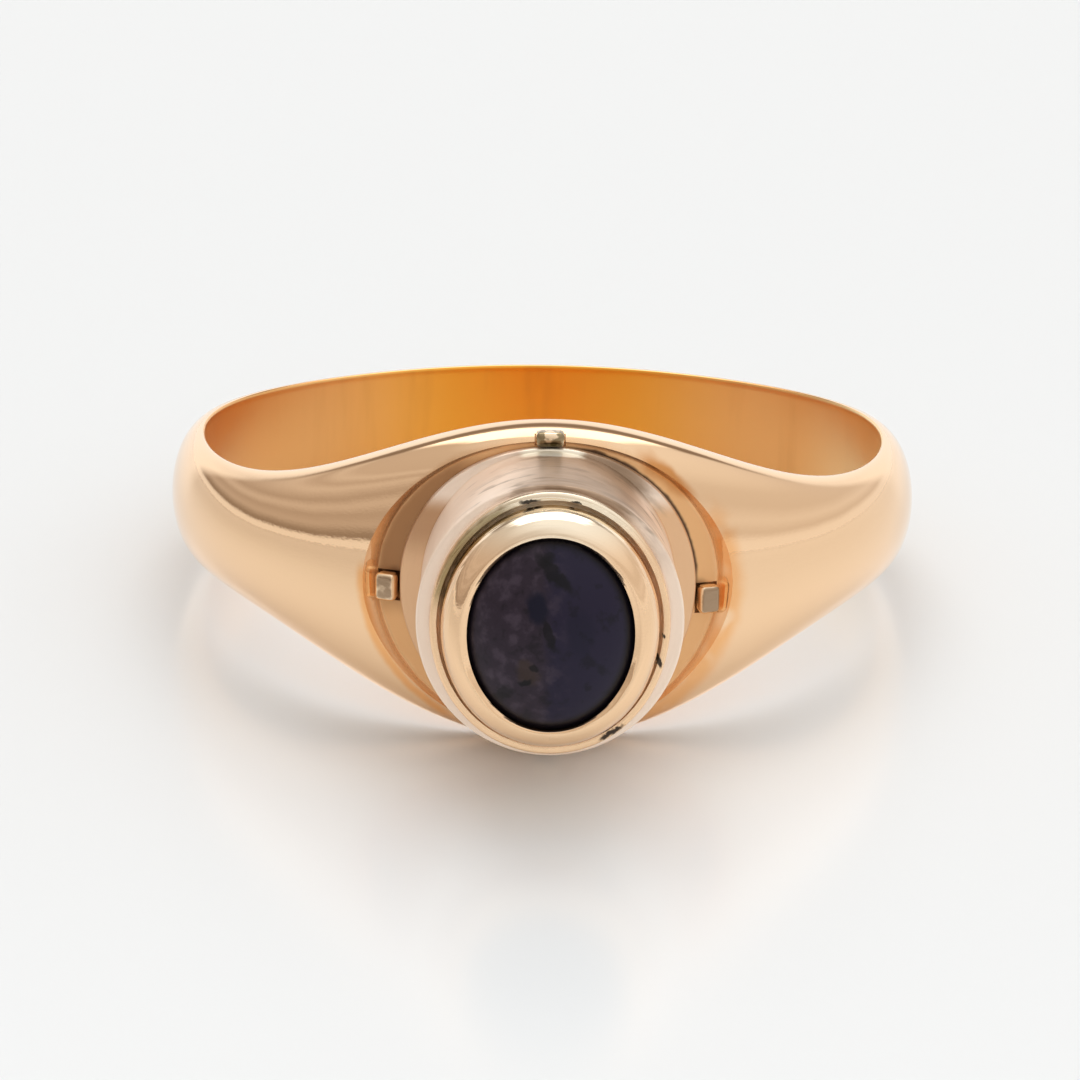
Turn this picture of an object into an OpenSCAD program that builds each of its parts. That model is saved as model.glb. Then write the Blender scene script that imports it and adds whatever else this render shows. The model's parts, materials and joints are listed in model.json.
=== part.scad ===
// Star sapphire ring: a gold band with flared shoulders, a tall oval setting
// let into its head, a cabochon under the setting's rim and four small block studs
// round the setting's foot. The ring lies on its side. Sizes in millimetres.

/* [Band] */
// Diameter of the finger hole
finger_d = 18; // [15:0.5:22]
// Width of the band across the head
head_w = 8.46; // [8.4:0.02:8.8]
// Width of the band at its two sides
side_w = 3.18; // [2.6:0.02:4]
// Width of the band at the back
back_w = 2.5; // [2:0.1:3]
// How fast the shoulders narrow from head to side
shoulder_taper = 4.35; // [3:0.05:6]
// How fast the width and thickness settle from the sides to the back
back_taper = 4; // [2:0.5:6]

/* [Band thickness] */
// Thickness in the middle of the head, before the seat is cut
head_t = 1.75; // [1.6:0.05:2]
// Thickness in the middle of the sides
side_t = 0.86; // [0.7:0.02:1.2]
// Thickness in the middle of the back
back_t = 0.82; // [0.7:0.02:1.2]
// Thickness at the rims of the head
head_edge = 1.3; // [1.2:0.05:1.4]
// Thickness at the rims of the sides
side_edge = 0.42; // [0.3:0.01:0.6]
// Thickness at the rims of the back
back_edge = 0.5; // [0.3:0.01:0.6]
// How fast the middle thins from head to side
crown_taper = 2.2; // [1.5:0.1:4]
// How fast the rims thin from head to side
edge_taper = 6; // [4:0.5:8]
// Rounding along the outer edge of each rim
rim_round = 0.25; // [0.1:0.05:0.4]
// Bevel where each rim meets the finger hole
inner_bevel = 0.08; // [0.04:0.02:0.14]

/* [Seat and gutter] */
// Metal left under the setting
seat_t = 1.15; // [1:0.05:1.2]
// Width of the gutter's floor along the band, measured over the setting's foot
gutter_w = 8.76; // [8.7:0.02:8.9]
// Height of the gutter's floor across the band, measured over the setting's foot
gutter_h = 7.76; // [7.7:0.02:7.86]
// Slope of the gutter's sides, in degrees
gutter_slope = 45; // [35:1:55]
// Fillet between the gutter's floor and its sides
gutter_fillet = 0.12; // [0.06:0.02:0.16]
// Small gap left between pieces that meet
gap = 0.03; // [0.02:0.01:0.05]

/* [Setting] */
// Width of the foot along the band
foot_w = 7.64; // [7.5:0.02:7.8]
// Height of the foot across the band
foot_h = 7.56; // [7.44:0.02:7.6]
// Thickness of the foot
foot_t = 0.25; // [0.15:0.05:0.35]
// Height of the oval collar where it leaves the foot
collar_h = 7.4; // [7.2:0.02:7.44]
// Height of the collar's top, on which the step ring stands
collar_top_h = 7.14; // [7.14:0.02:7.24]
// Width of the collar's top as a share of its height
collar_top_ratio = 0.96; // [0.94:0.01:0.98]
// Depth of the collar's top below the face of the step ring
collar_top_depth = 0.35; // [0.3:0.05:0.5]
// Height of the step ring
step_h = 6.92; // [6.84:0.02:6.98]
// Height of the bezel that holds the stone
bezel_h = 6.3; // [6.1:0.02:6.34]
// Width of the collar's foot, the step ring and the bezel as a share of their height
oval_ratio = 0.885; // [0.86:0.005:0.91]
// Height of the step ring above the seat
step_rise = 3.55; // [3.2:0.05:3.8]
// Height of the bezel above the step ring
bezel_rise = 1.1; // [0.9:0.05:1.2]
// Wall of the hollow collar
collar_wall = 0.5; // [0.4:0.05:0.6]

/* [Stone] */
// Height of the cabochon across the band
stone_h = 5.6; // [5.4:0.05:5.7]
// Width of the cabochon as a share of its height
stone_ratio = 0.85; // [0.83:0.01:0.87]
// Height of the dome above the girdle
dome_rise = 1.7; // [1.5:0.05:1.9]
// Depth of the base below the girdle
base_depth = 0.55; // [0.4:0.05:0.7]
// Depth of the girdle below the bezel's rim
girdle_depth = 0.95; // [0.9:0.01:1]
// Height that shows inside the bezel's rim
window_h = 5.04; // [4.96:0.02:5.2]

/* [Studs] */
// Width of each stud, out from the foot
stud_w = 0.56; // [0.5:0.02:0.6]
// Length of each stud along the foot's outline
stud_l = 0.74; // [0.6:0.02:0.8]
// Height of the studs above the gutter's floor
stud_rise = 0.35; // [0.25:0.05:0.4]
// Depth of the sockets that the studs stand in
socket = 0.2; // [0.15:0.05:0.25]
// Bevel round the top of each stud
stud_bevel = 0.08; // [0.04:0.02:0.12]
// How far the left stud sits below the foot's middle
left_stud_drop = 0.16; // [0:0.02:0.4]
// How far the right stud sits below the foot's middle
right_stud_drop = 0.42; // [0:0.02:0.5]

/* [Hidden] */
$fn = 180;

gold = "#dfa468";
pale_gold = "#d9c0a4";
yellow_gold = "#e6c196";
sapphire_blue = "#3a3340";

// The ring's own frame: finger hole along Z, head towards -Y, centre at the origin
finger_r = finger_d/2;
seat_r = finger_r + seat_t;
foot_under_r = seat_r + gap;
foot_top_r = foot_under_r + foot_t;
step_y = foot_under_r + step_rise;
bezel_y = step_y + bezel_rise;

// A size of the band at angle a from the head, from its values at head, side and back
function by_angle(a, head, side, back, taper) =
    cos(a) > 0 ? side + (head - side)*pow(cos(a), taper)
               : back + (side - back)*pow(abs(sin(a)), back_taper);
function half_width(a) = by_angle(a, head_w, side_w, back_w, shoulder_taper)/2;
function crown(a) = by_angle(a, head_t, side_t, back_t, crown_taper);
function edge(a) = by_angle(a, head_edge, side_edge, back_edge, edge_taper);

// Outer radius at angle a, where u runs from -1 to 1 across the band: a flat dome
// whose two edges round over into the rims
function outer_r(a, u) =
    finger_r + inner_bevel
    + (edge(a) - inner_bevel)*sqrt(1 - pow(abs(u), half_width(a)/rim_round))
    + (crown(a) - edge(a))*(1 - u*u);
function on_ring(r, a, z) = [r*sin(a), -r*cos(a), z];

// Places across the band, close together where the edges round over
shares = [0, 0.25, 0.5, 0.68, 0.8, 0.88, 0.93, 0.96, 0.98, 0.993, 1];
across = concat([for (i = [len(shares) - 1:-1:1]) -shares[i]], shares);
sections = 120;
// How far the loft's inner faces lie inside the finger hole, which cuts them off
inside = 0.3;

function section(a) = concat(
    [on_ring(finger_r - inside, a, -(half_width(a) - inner_bevel - inside))],
    [for (u = across) on_ring(outer_r(a, u), a, u*half_width(a))],
    [on_ring(finger_r - inside, a, half_width(a) - inner_bevel - inside)]);

// The ring rests on the inner edge of the head's lower rim and on the back's lower rim:
// the tilt is the lowest line from the one to any point of the other
back_outline = [for (u = across) on_ring(outer_r(180, u), 180, u*half_width(180))];
head_foot = on_ring(finger_r + inner_bevel, 0, -head_w/2);
rest_tilt = min([for (p = back_outline) atan((p[2] - head_foot[2])/(p[1] - head_foot[1]))]);
lowest = head_foot[2]*cos(rest_tilt) - head_foot[1]*sin(rest_tilt);
rear_most = max([for (p = back_outline) p[1]*cos(rest_tilt) + p[2]*sin(rest_tilt)]);
// The dome's foremost point once the ring is tilted, as on an ellipse
girdle_y = bezel_y - girdle_depth;
front_most = girdle_y*cos(rest_tilt)
    + sqrt(pow(dome_rise*cos(rest_tilt), 2) + pow(stone_h/2*sin(rest_tilt), 2));
module at_rest() {
    translate([0, (front_most - rear_most)/2, -lowest]) rotate([-rest_tilt, 0, 0]) children();
}

// A closed skin over rings of equal length; the last ring joins the first if looped
module skin(rings, looped) {
    n = len(rings[0]);
    last = looped ? len(rings) - 1 : len(rings) - 2;
    quads = [for (i = [0:last], j = [0:n - 1])
        let (k = (i + 1) % len(rings), m = (j + 1) % n)
        [i*n + j, i*n + m, k*n + m, k*n + j]];
    sides = [for (q = quads, t = [[q[0], q[1], q[2]], [q[0], q[2], q[3]]]) t];
    ends = looped ? [] : [[for (j = [n - 1:-1:0]) j],
                          [for (j = [0:n - 1]) (len(rings) - 1)*n + j]];
    polyhedron([for (r = rings, p = r) p], concat(sides, ends));
}

// An oval of half axes a and b, wrapped on a barrel of radius r round the finger hole
oval_sides = 96;
function oval_on_barrel(a, b, r) = [for (i = [0:oval_sides - 1])
    let (t = -360*i/oval_sides, x = a*cos(t)) [x, -sqrt(r*r - x*x), b*sin(t)]];
function oval_on_plane(a, b, y) = [for (i = [0:oval_sides - 1])
    let (t = -360*i/oval_sides) [a*cos(t), -y, b*sin(t)]];

// The gutter's side, from just under the edge of its floor outwards: each row has its
// distance out from the floor's oval and its height above the floor
floor_dip = 0.04;
fillet_steps = 3;
fillet_reach = gutter_fillet*tan(gutter_slope/2);
slope_top = head_t - seat_t + 0.1;
gutter_side = concat(
    [[-fillet_reach, -floor_dip]],
    [for (i = [1:fillet_steps]) let (t = gutter_slope*i/fillet_steps)
        [gutter_fillet*sin(t) - fillet_reach, gutter_fillet*(1 - cos(t))]],
    [[slope_top/tan(gutter_slope), slope_top]]);
// How far the pocket's cutter reaches in and out from the seat
pocket_bottom = 3;
pocket_top = 3.5;

module pocket() {
    a = gutter_w/2;
    b = gutter_h/2;
    foot_row = gutter_side[0];
    top_row = gutter_side[len(gutter_side) - 1];
    rings = concat(
        [oval_on_plane(a + foot_row[0], b + foot_row[0], seat_r - pocket_bottom)],
        [for (s = gutter_side) oval_on_barrel(a + s[0], b + s[0], seat_r + s[1])],
        [oval_on_plane(a + top_row[0], b + top_row[0], seat_r + pocket_top)]);
    difference() {
        skin(rings, false);
        cylinder(r = seat_r, h = 2*head_w, center = true);
    }
}

// The side studs stand where their inner sides clear the foot, and the two others in
// the rims above and below it
side_stud_angle = asin((foot_w/2 + gap)/norm([foot_under_r, stud_w/2]))
    + atan(stud_w/2/foot_under_r);
rim_stud_h = (head_w - foot_h)/2 - 2*gap;
rim_stud_z = head_w/2 - gap - rim_stud_h/2;

// Each stud stands at angle a round the band and z across it, w wide and h high
module stud(a, z, w, h) {
    at_rest() rotate([0, 0, a]) translate([0, -seat_r, z]) hull() {
        translate([-w/2, stud_bevel - stud_rise, -h/2]) cube([w, stud_rise + socket - stud_bevel - gap, h]);
        translate([-w/2 + stud_bevel, -stud_rise, -h/2 + stud_bevel/2])
            cube([w - 2*stud_bevel, stud_rise, h - stud_bevel]);
    }
}

module stud_socket(a, z, w, h) {
    rotate([0, 0, a]) translate([0, -seat_r + (socket - stud_rise)/2, z])
        cube([w + 2*gap, socket + stud_rise, h + 2*gap], center = true);
}

module band() {
    skin([for (i = [0:sections - 1]) section(360*i/sections)], true);
}

module shank() {
    color(gold) at_rest() difference() {
        band();
        pocket();
        cylinder(r = finger_r, h = 2*head_w, center = true);
        stud_socket(-side_stud_angle, -left_stud_drop, stud_w, stud_l);
        stud_socket(side_stud_angle, -right_stud_drop, stud_w, stud_l);
        // A rim's socket is open through the rim
        for (side = [-1, 1]) translate([0, 0, side*rim_stud_h/2])
            stud_socket(0, side*rim_stud_z, stud_l, 2*rim_stud_h);
    }
}

// A stack of ovals out from the finger hole: each row has the half height of its oval,
// its distance from the ring's centre and, where it differs from the others' ratio of
// width to height, its own ratio
module oval_stack(rows, ratio) {
    skin([for (row = rows) let (own = len(row) > 2 ? row[2] : ratio)
        oval_on_plane(row[0]*own, row[0], row[1])], false);
}

// Sizes of the step ring and of the groove between it and the bezel
lip_round = 0.07;
lip_w = 0.2;
groove_depth = 0.18;
bezel_wall_h = 0.18;
// The cove at the collar's foot takes this share of the foot's ledge above the collar
cove_share = 0.75;
foot_cove = cove_share*(foot_h - collar_h)/2;
rim_edge = 0.06;
arc_steps = 6;
collar_top_y = step_y - collar_top_depth;

// The bezel's rounded shoulder, a quarter of an oval from its wall in to the rim
function shoulder() = let (w = (bezel_h - window_h)/2 - rim_edge, h = bezel_rise - bezel_wall_h)
    [for (i = [0:arc_steps]) let (t = 90*i/arc_steps)
        [window_h/2 + rim_edge + w*cos(t), step_y + bezel_wall_h + h*sin(t)]];

collar_rows = concat(
    [[collar_h/2 + foot_cove, finger_r],
     [collar_h/2 + foot_cove, foot_top_r], [collar_h/2, foot_top_r + 3*foot_cove],
     [collar_top_h/2, collar_top_y - lip_round, collar_top_ratio],
     [collar_top_h/2 - lip_round, collar_top_y, collar_top_ratio],
     [step_h/2, collar_top_y], [step_h/2, step_y - lip_round],
     [step_h/2 - lip_round, step_y], [step_h/2 - lip_w, step_y],
     [bezel_h/2 + lip_round, step_y - groove_depth], [bezel_h/2, step_y - groove_depth]],
    shoulder());

// The cabochon: half of an egg-shaped dome on a straight base
module cabochon() {
    r = stone_h/2;
    rotate([90, 0, 0]) scale([stone_ratio, 1, 1]) {
        translate([0, 0, girdle_y]) intersection() {
            scale([r, r, dome_rise]) sphere(r = 1);
            translate([-stone_h, -stone_h, 0]) cube([2*stone_h, 2*stone_h, 2*dome_rise]);
        }
        translate([0, 0, girdle_y - base_depth]) cylinder(r = r, h = base_depth);
    }
}

// The room for the stone inside the bezel: it follows the dome as far in as the rim
// reaches, and then leaves straight out
seat_turn = acos(window_h/(stone_h + 2*gap));
seat_steps = 3;
stone_seat_rows = concat(
    [[stone_h/2 + gap, girdle_y - base_depth - gap]],
    [for (i = [0:seat_steps]) let (t = seat_turn*i/seat_steps)
        [(stone_h/2 + gap)*cos(t), girdle_y + (dome_rise + gap)*sin(t)]],
    [[window_h/2, bezel_y + bezel_rise]]);

// The hollow inside the collar, and the ledge left for the stone to rest on
ledge_t = 0.35;
ledge_w = 0.3;
ledge_y = girdle_y - base_depth - gap - ledge_t;
hollow_rows = [
    [collar_h/2 - collar_wall, finger_r/2], [collar_h/2 - collar_wall, foot_top_r],
    [step_h/2 - collar_wall, ledge_y], [stone_h/2 - ledge_w, ledge_y],
    [stone_h/2 - ledge_w, ledge_y + 2*ledge_t]];

module foot() {
    intersection() {
        skin([for (y = [finger_r/2, step_y]) oval_on_plane(foot_w/2, foot_h/2, y)], false);
        cylinder(r = foot_top_r, h = 2*head_w, center = true);
    }
}

module setting() {
    color(pale_gold) at_rest() difference() {
        union() {
            foot();
            oval_stack(collar_rows, oval_ratio);
        }
        cylinder(r = foot_under_r, h = 2*head_w, center = true);
        oval_stack(hollow_rows, oval_ratio);
        oval_stack(stone_seat_rows, stone_ratio);
    }
}

module star_sapphire() {
    color(sapphire_blue) at_rest() cabochon();
}

module stud_left() { color(yellow_gold) stud(-side_stud_angle, -left_stud_drop, stud_w, stud_l); }
module stud_right() { color(yellow_gold) stud(side_stud_angle, -right_stud_drop, stud_w, stud_l); }
module stud_top() { color(yellow_gold) stud(0, rim_stud_z, stud_l, rim_stud_h); }
module stud_bottom() { color(yellow_gold) stud(0, -rim_stud_z, stud_l, rim_stud_h); }

shank();
setting();
star_sapphire();
stud_left();
stud_right();
stud_top();
stud_bottom();
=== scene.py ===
import json
import math

import bmesh
import bpy
import numpy as np
from mathutils import Matrix, Vector


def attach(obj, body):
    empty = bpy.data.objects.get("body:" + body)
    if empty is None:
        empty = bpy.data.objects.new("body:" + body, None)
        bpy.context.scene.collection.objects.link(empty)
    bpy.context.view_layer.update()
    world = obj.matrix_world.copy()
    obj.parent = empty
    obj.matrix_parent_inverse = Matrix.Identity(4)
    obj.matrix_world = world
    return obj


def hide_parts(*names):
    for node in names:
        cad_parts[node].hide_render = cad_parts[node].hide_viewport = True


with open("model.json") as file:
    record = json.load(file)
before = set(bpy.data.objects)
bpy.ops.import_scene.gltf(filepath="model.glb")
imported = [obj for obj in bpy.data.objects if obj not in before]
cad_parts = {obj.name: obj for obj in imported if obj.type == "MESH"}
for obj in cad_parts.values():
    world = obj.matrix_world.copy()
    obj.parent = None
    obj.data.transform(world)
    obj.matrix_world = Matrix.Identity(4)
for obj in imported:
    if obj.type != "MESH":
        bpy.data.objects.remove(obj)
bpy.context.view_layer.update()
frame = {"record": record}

# Shank: the band of reddish 14 carat gold, cast or forged thick at the head, filed down to
# narrow sides, and polished. A shallow gutter is cut round the place of the setting, with
# four small sockets for the studs. Sizes are in millimetres, as a goldsmith measures them.
MM = 0.001
hole = next(m for m in frame["record"]["mounts"] if m["name"] == "finger_hole")
finger_r = hole["dims"]["r_mm"]
rest_tilt = math.atan2(hole["axis"][1], hole["axis"][2])
# The ring's own frame: finger hole along Z, head towards -Y, its middle at the origin
ring_turn = Matrix.Translation(hole["pos_m"]) @ Matrix.Rotation(-rest_tilt, 4, "X")
ring_to_row = ring_turn @ Matrix.Scale(MM, 4)

# The band's width, its thickness in the middle and its thickness at the rims
head_w, side_w, back_w = 8.46, 3.18, 2.5
head_t, side_t, back_t = 1.75, 0.86, 0.82
head_edge, side_edge, back_edge = 1.3, 0.42, 0.5
# How fast they change on the way from head to side, and from side to back
shoulder_taper, crown_taper, edge_taper, back_taper = 4.35, 2.2, 6, 4
rim_round, inner_bevel = 0.25, 0.08
# The band's thickness under the setting, and the gutter round it
seat_t = 1.15
seat_r = finger_r + seat_t
gutter_w, gutter_h = 8.76, 7.76
gutter_slope, gutter_fillet, slope_top = math.radians(45), 0.12, 0.7
# The gap between pieces that meet
gap = 0.03


def by_angle(a, head, side, back, taper):
    """A size of the band at angle a from the head, from its values at head, side and back."""
    front = side + (head - side)*np.maximum(np.cos(a), 0)**taper
    rear = back + (side - back)*np.abs(np.sin(a))**back_taper
    return np.where(np.cos(a) > 0, front, rear)


def select_only(piece):
    """Leaves the piece alone selected and active, in object mode."""
    bpy.ops.object.select_all(action="DESELECT")
    piece.select_set(True)
    bpy.context.view_layer.objects.active = piece


def name_piece(name):
    """Names the piece that was just added and its mesh."""
    piece = bpy.context.object
    piece.name = piece.data.name = name
    return piece


def shape(piece, rule):
    """Moves every vertex of the piece by a rule for arrays of x, y and z."""
    flat = np.empty(3*len(piece.data.vertices))
    piece.data.vertices.foreach_get("co", flat)
    x, y, z = flat.reshape(-1, 3).T
    piece.data.vertices.foreach_set("co", np.stack(rule(x, y, z), axis=1).ravel())
    piece.data.update()


def apply_modifier(piece, kind, **settings):
    """Adds a modifier and applies it at once, as one step of the work."""
    select_only(piece)
    modifier = piece.modifiers.new(kind.title(), kind)
    for key, value in settings.items():
        setattr(modifier, key, value)
    bpy.ops.object.modifier_apply(modifier=modifier.name)


def finish_mesh(piece, sharp_angle):
    """Sets the piece in the row's frame, with its normals outwards and its shading smooth."""
    piece.data.transform(ring_to_row)
    select_only(piece)
    bpy.ops.object.mode_set(mode="EDIT")
    bpy.ops.mesh.select_all(action="SELECT")
    bpy.ops.mesh.normals_make_consistent(inside=False)
    bpy.ops.mesh.select_all(action="DESELECT")
    bpy.ops.object.mode_set(mode="OBJECT")
    bpy.ops.object.shade_smooth_by_angle(angle=math.radians(sharp_angle))


# A torus is drawn out to the band's section at each angle. Its big turns crowd towards
# the head, and its small turns towards the rims, where the outline is tightest.
TORUS_R, TORUS_SECTION = 10, 1
BAND_TURNS, SECTION_TURNS = 480, 112
HEAD_CROWDING = 0.6
DOME_SHARE, RIM_SHARE = 0.45, 0.8
DOME_REACH = 0.8


def band_rule(x, y, z):
    """Lays the torus's points along the band's section: dome, rim, bevel and hole wall."""
    turn = np.arctan2(x, -y)
    a = turn - HEAD_CROWDING*np.sin(turn)
    f = np.arctan2(z, np.hypot(x, y) - TORUS_R)/math.pi
    side, f = np.sign(f), np.abs(f)
    half_width = by_angle(a, head_w, side_w, back_w, shoulder_taper)/2
    crown = by_angle(a, head_t, side_t, back_t, crown_taper)
    edge = by_angle(a, head_edge, side_edge, back_edge, edge_taper)
    power = half_width/rim_round
    # Over the dome to its reach, then round the rim's outer edge and down its land
    dome_turn = np.arcsin(DOME_REACH**(power/2))
    rim_way = np.clip((f - DOME_SHARE)/(RIM_SHARE - DOME_SHARE), 0, 1)
    rim_turn = dome_turn + (math.pi/2 - dome_turn)*rim_way
    u = np.where(f < DOME_SHARE, DOME_REACH*f/DOME_SHARE, np.sin(rim_turn)**(2/power))
    land = np.where(f < DOME_SHARE, np.sqrt(1 - u**power), np.cos(rim_turn))
    outer = inner_bevel + (edge - inner_bevel)*land + (crown - edge)*(1 - u*u)
    # Then round the bevel at the finger hole, and along the hole's wall to the middle
    inner = np.clip((f - RIM_SHARE)/(1 - RIM_SHARE), 0, 1)
    bevel_turn = math.pi/2*np.clip(inner*2, 0, 1)
    bevel_r = inner_bevel*(1 - np.sin(bevel_turn))
    wall_z = (half_width - inner_bevel*(1 - np.cos(bevel_turn)))*np.clip(2 - 2*inner, 0, 1)
    r = finger_r + np.where(f < RIM_SHARE, outer, bevel_r)
    z = side*np.where(f < RIM_SHARE, u*half_width, wall_z)
    return r*np.sin(a), -r*np.cos(a), z


bpy.ops.object.select_all(action="DESELECT")
bpy.ops.mesh.primitive_torus_add(major_segments=BAND_TURNS, minor_segments=SECTION_TURNS,
                                 major_radius=TORUS_R, minor_radius=TORUS_SECTION)
shank = name_piece("gold_shank")
shape(shank, band_rule)

# The gutter's cutter is an oval extruded out from the finger hole, row by row
OVAL_SIDES = 288


def oval_stack(name, rows, closed):
    """Extrudes an oval through rows of half width, half height, distance out and wrap.

    The distance is from the ring's centre towards the stone, and a wrap of 1 bends the
    oval round a barrel of that radius. A closed stack ends where it started.
    """
    bpy.ops.object.select_all(action="DESELECT")
    bpy.ops.mesh.primitive_circle_add(vertices=OVAL_SIDES, radius=1,
                                      fill_type="NOTHING" if closed else "NGON")
    piece = name_piece(name)
    bpy.ops.object.mode_set(mode="EDIT")
    half_w = half_h = 1
    up = 1
    for i, (next_w, next_h, out, wrap) in enumerate(rows):
        if i:
            bpy.ops.mesh.extrude_region_move()
        mesh = bmesh.from_edit_mesh(piece.data)
        for v in mesh.verts:
            if v.select:
                t = math.atan2(v.co[up]/half_h, v.co.x/half_w)
                x = next_w*math.cos(t)
                barrel = math.sqrt(out*out - x*x) if wrap else out
                v.co = x, -(out + wrap*(barrel - out)), next_h*math.sin(t)
        bmesh.update_edit_mesh(piece.data)
        half_w, half_h, up = next_w, next_h, 2
    if closed:
        bpy.ops.mesh.select_all(action="SELECT")
        bpy.ops.mesh.remove_doubles(threshold=1e-5)
    bpy.ops.mesh.select_all(action="SELECT")
    bpy.ops.mesh.normals_make_consistent(inside=False)
    bpy.ops.object.mode_set(mode="OBJECT")
    return piece


# Its side rises from the floor in a small fillet and then in a straight slope
FLOOR_RINGS, FILLET_ROWS = 10, 6
CUTTER_TOP = 3.5
fillet_reach = gutter_fillet*math.tan(gutter_slope/2)
side_rows = [(gutter_fillet*math.sin(t) - fillet_reach, gutter_fillet*(1 - math.cos(t)))
             for t in (gutter_slope*i/FILLET_ROWS for i in range(FILLET_ROWS + 1))]
side_rows.append((slope_top/math.tan(gutter_slope), slope_top))
cutter_rows = [((gutter_w/2 - fillet_reach)*i/FLOOR_RINGS,
                (gutter_h/2 - fillet_reach)*i/FLOOR_RINGS, seat_r, 1)
               for i in range(1, FLOOR_RINGS)]
cutter_rows += [(gutter_w/2 + out, gutter_h/2 + out, seat_r + rise, 1) for out, rise in side_rows]
cutter_rows.append((gutter_w/2 + slope_top, gutter_h/2 + slope_top, seat_r + CUTTER_TOP, 0))
gutter_cutter = oval_stack("gutter_cutter", cutter_rows, closed=False)
apply_modifier(shank, "BOOLEAN", operation="DIFFERENCE", solver="EXACT", object=gutter_cutter)
bpy.data.objects.remove(gutter_cutter)

# The four sockets. Each stud's place: angle round the band, middle across it, width, height
foot_w, foot_h = 7.64, 7.56
stud_w, stud_l, stud_rise, socket = 0.56, 0.74, 0.35, 0.2
left_stud_drop, right_stud_drop = 0.16, 0.42
foot_under_r = seat_r + gap
side_stud_angle = (math.asin((foot_w/2 + gap)/math.hypot(foot_under_r, stud_w/2))
                   + math.atan(stud_w/2/foot_under_r))
rim_stud_h = (head_w - foot_h)/2 - 2*gap
rim_stud_z = head_w/2 - gap - rim_stud_h/2
stud_places = {
    "stud_left": (-side_stud_angle, -left_stud_drop, stud_w, stud_l),
    "stud_right": (side_stud_angle, -right_stud_drop, stud_w, stud_l),
    "stud_top": (0, rim_stud_z, stud_l, rim_stud_h),
    "stud_bottom": (0, -rim_stud_z, stud_l, rim_stud_h),
}
for angle, z, width, height in stud_places.values():
    # A rim's socket is open through the rim
    open_h = height if angle else 2*height
    bpy.ops.object.select_all(action="DESELECT")
    bpy.ops.mesh.primitive_cube_add(size=1)
    cutter = name_piece("socket_cutter")
    cutter.data.transform(Matrix.Rotation(angle, 4, "Z")
                          @ Matrix.Translation((0, -seat_r + (socket - stud_rise)/2,
                                                z + math.copysign(open_h - height, z)/2))
                          @ Matrix.Diagonal((width + 2*gap, socket + stud_rise,
                                             open_h + 2*gap, 1)))
    apply_modifier(shank, "BOOLEAN", operation="DIFFERENCE", solver="EXACT", object=cutter)
    bpy.data.objects.remove(cutter)
SHANK_SHARP_ANGLE = 35
finish_mesh(shank, SHANK_SHARP_ANGLE)


def linear(hex_colour):
    """The linear colour of an sRGB hex value such as "eec99c"."""
    parts = [int(hex_colour[i:i + 2], 16)/255 for i in (0, 2, 4)]
    return (*(c/12.92 if c <= 0.04045 else ((c + 0.055)/1.055)**2.4 for c in parts), 1)


def add_node(tree, kind, inputs=None, **settings):
    """Adds a node with its settings; an input that is a socket is linked, another is set."""
    node = tree.nodes.new(kind)
    for key, value in settings.items():
        setattr(node, key, value)
    for key, value in (inputs or {}).items():
        if isinstance(value, bpy.types.NodeSocket):
            tree.links.new(value, node.inputs[key])
        else:
            node.inputs[key].default_value = value
    return node


def ring_coords(tree):
    """The surface's place in the ring's own frame, in mm."""
    place = add_node(tree, "ShaderNodeTexCoord").outputs["Object"]
    return add_node(tree, "ShaderNodeMapping", {
        "Vector": place, "Location": hole["pos_m"], "Rotation": (-rest_tilt, 0, 0),
        "Scale": (MM, MM, MM)}, vector_type="TEXTURE").outputs[0]


# Polished gold gives sharp, warm reflections, softened a little by the wear of years: slow
# waves from filing, small dents, hairline scratches, and patches that are duller than others.
# Real hairlines are finer than a pixel, so they are drawn as wide as they need to show.
WAVE_MM, WAVE_DEPTH_MM = 2.2, 0.01
DENT_MM, DENT_DEPTH_MM = 0.45, 0.0012
SCRATCH_MM, SCRATCH_DEPTH_MM, SCRATCH_STRETCH = 0.06, 0.0008, 14
SCRATCH_TURNS = 0.5, 2.1
PATCHES_PER_MM, BRIGHT_PATCH, DULL_PATCH = 1.2, 0.75, 1.35


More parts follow.
